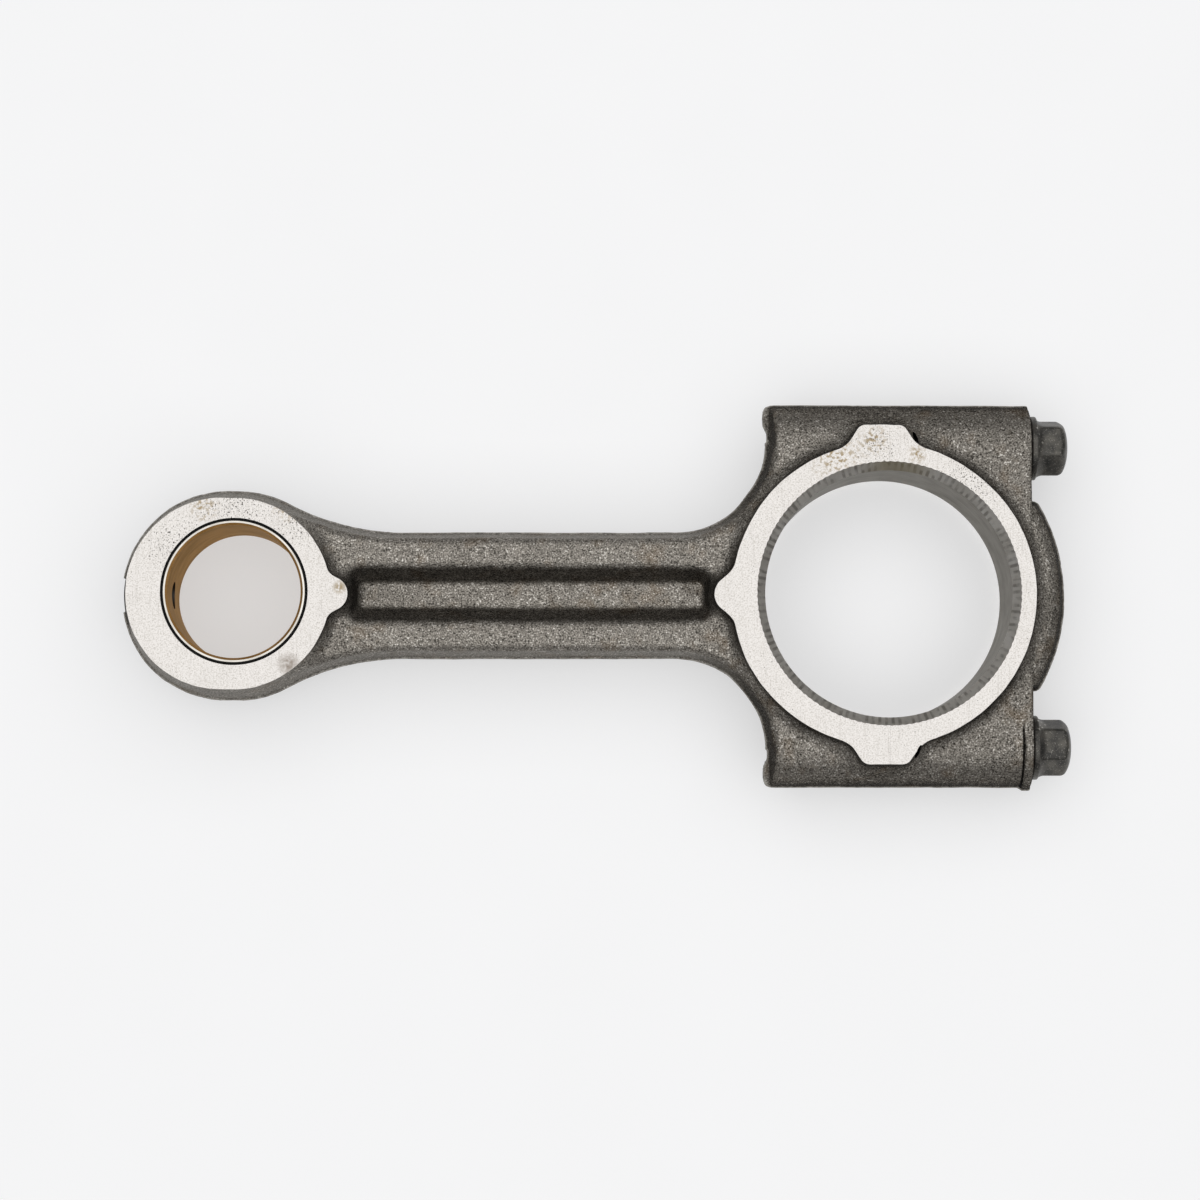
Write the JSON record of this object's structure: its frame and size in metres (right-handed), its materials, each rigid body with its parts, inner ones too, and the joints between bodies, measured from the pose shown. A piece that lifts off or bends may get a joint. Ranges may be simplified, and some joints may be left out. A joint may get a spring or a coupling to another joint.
{
  "type": "connecting rod",
  "caption": "Forged connecting rod with an I-section shank, a bushed small end and a big end closed by a bolted, fracture-split cap.",
  "frame": {"origin": "centre of the big-end bore, halfway between the machined faces", "axes": "+X from the small end towards the cap and the bolt heads, +Y towards the upper bolt, +Z along the big-end bore"},
  "size_m": [0.1878, 0.0768, 0.024],
  "materials": {
    "forged_steel": "shot-blasted forging skin with milled faces and bored holes",
    "bush_bronze": "bored bronze lining on a steel back",
    "bolt_steel": "dark phosphate over rolled threads"
  },
  "bodies": {
    "rod": {"rod": "forged_steel", "small_end_bush": "bush_bronze"},
    "cap": {"cap": "forged_steel"},
    "upper_bolt": {"upper_bolt": "bolt_steel"},
    "lower_bolt": {"lower_bolt": "bolt_steel"}
  },
  "joints": [
    {"name": "cap_removal", "type": "slide", "parent": "rod", "child": "cap", "axis": [1, 0, 0], "range_m": [0, 0.025]},
    {"name": "upper_bolt_withdrawal", "type": "slide", "parent": "cap", "child": "upper_bolt", "axis": [1, 0, 0], "range_m": [0, 0.05]},
    {"name": "lower_bolt_withdrawal", "type": "slide", "parent": "cap", "child": "lower_bolt", "axis": [1, 0, 0], "range_m": [0, 0.05]}
  ]
}
